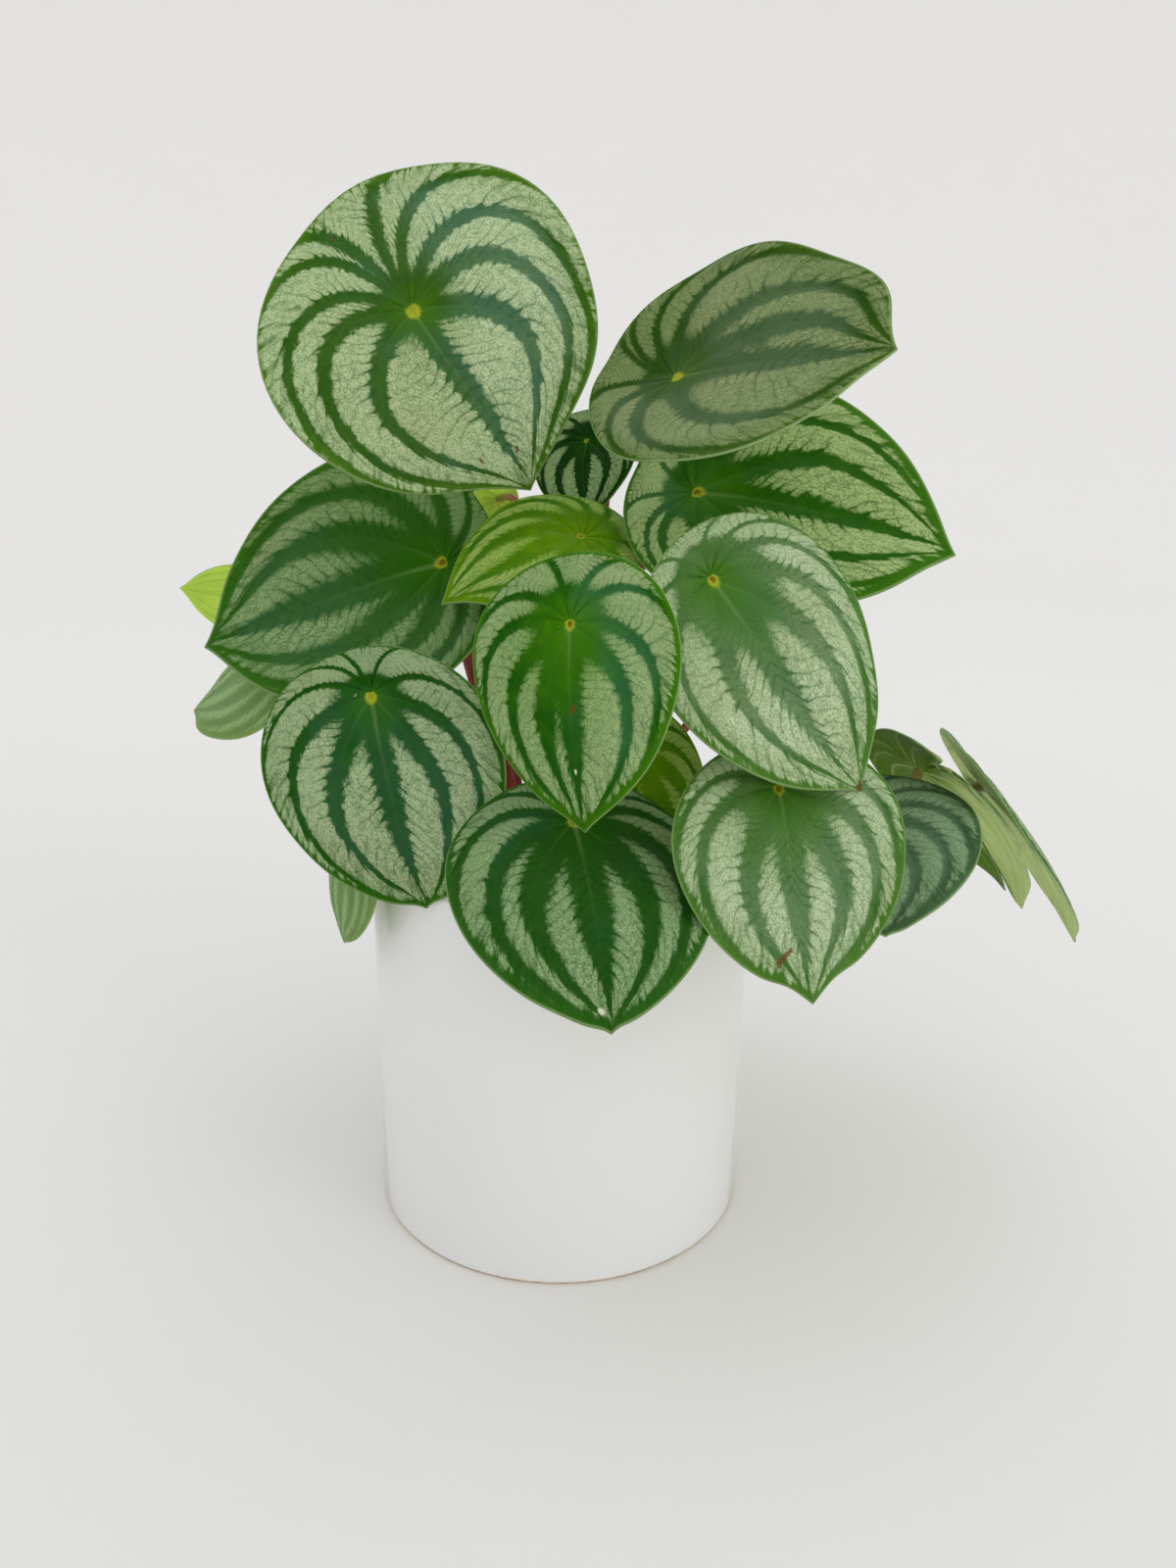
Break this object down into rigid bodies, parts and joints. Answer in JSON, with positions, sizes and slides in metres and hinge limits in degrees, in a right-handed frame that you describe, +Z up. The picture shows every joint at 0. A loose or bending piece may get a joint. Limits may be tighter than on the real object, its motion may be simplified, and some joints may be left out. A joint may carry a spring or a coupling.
{
  "type": "potted peperomia",
  "caption": "Potted watermelon peperomia: shield-shaped, silver-striped leaves on slender red stalks that rise from dark soil in a plain glossy white cylindrical pot.",
  "frame": {"origin": "the middle of the pot's flat underside, on the pot's axis", "axes": "+Z is up along the pot's axis; -Y is the front, the side that the picture shows; +X is to the right as seen from the front"},
  "size_m": [0.2817, 0.2013, 0.2815],
  "materials": {
    "pot_glaze": "gloss",
    "potting_soil": "matte",
    "leaf_stalk": "satin",
    "leaf_blade": "satin",
    "young_leaf_blade": "satin"
  },
  "bodies": {
    "root": {"pot": "pot_glaze", "soil": "potting_soil", "petiole_01": "leaf_stalk", "leaf_01": "leaf_blade", "petiole_02": "leaf_stalk", "leaf_02": "leaf_blade", "petiole_03": "leaf_stalk", "leaf_03": "leaf_blade", "petiole_04": "leaf_stalk", "leaf_04": "leaf_blade", "petiole_05": "leaf_stalk", "leaf_05": "leaf_blade", "petiole_06": "leaf_stalk", "leaf_06": "young_leaf_blade", "petiole_07": "leaf_stalk", "leaf_07": "leaf_blade", "petiole_08": "leaf_stalk", "leaf_08": "leaf_blade", "petiole_09": "leaf_stalk", "leaf_09": "leaf_blade", "petiole_10": "leaf_stalk", "leaf_10": "leaf_blade", "petiole_11": "leaf_stalk", "leaf_11": "leaf_blade", "petiole_12": "leaf_stalk", "leaf_12": "leaf_blade", "petiole_13": "leaf_stalk", "leaf_13": "leaf_blade", "petiole_14": "leaf_stalk", "leaf_14": "young_leaf_blade", "petiole_15": "leaf_stalk", "leaf_15": "leaf_blade", "petiole_16": "leaf_stalk", "leaf_16": "leaf_blade", "petiole_17": "leaf_stalk", "leaf_17": "young_leaf_blade", "petiole_18": "leaf_stalk", "leaf_18": "young_leaf_blade", "petiole_19": "leaf_stalk", "leaf_19": "leaf_blade", "petiole_20": "leaf_stalk", "leaf_20": "leaf_blade", "petiole_21": "leaf_stalk", "leaf_21": "leaf_blade", "petiole_22": "leaf_stalk", "leaf_22": "leaf_blade", "petiole_23": "leaf_stalk", "leaf_23": "leaf_blade", "petiole_24": "leaf_stalk", "leaf_24": "leaf_blade", "petiole_25": "leaf_stalk", "leaf_25": "leaf_blade", "petiole_26": "leaf_stalk", "leaf_26": "leaf_blade", "petiole_27": "leaf_stalk", "leaf_27": "leaf_blade", "petiole_28": "leaf_stalk", "leaf_28": "leaf_blade"}
  },
  "joints": []
}
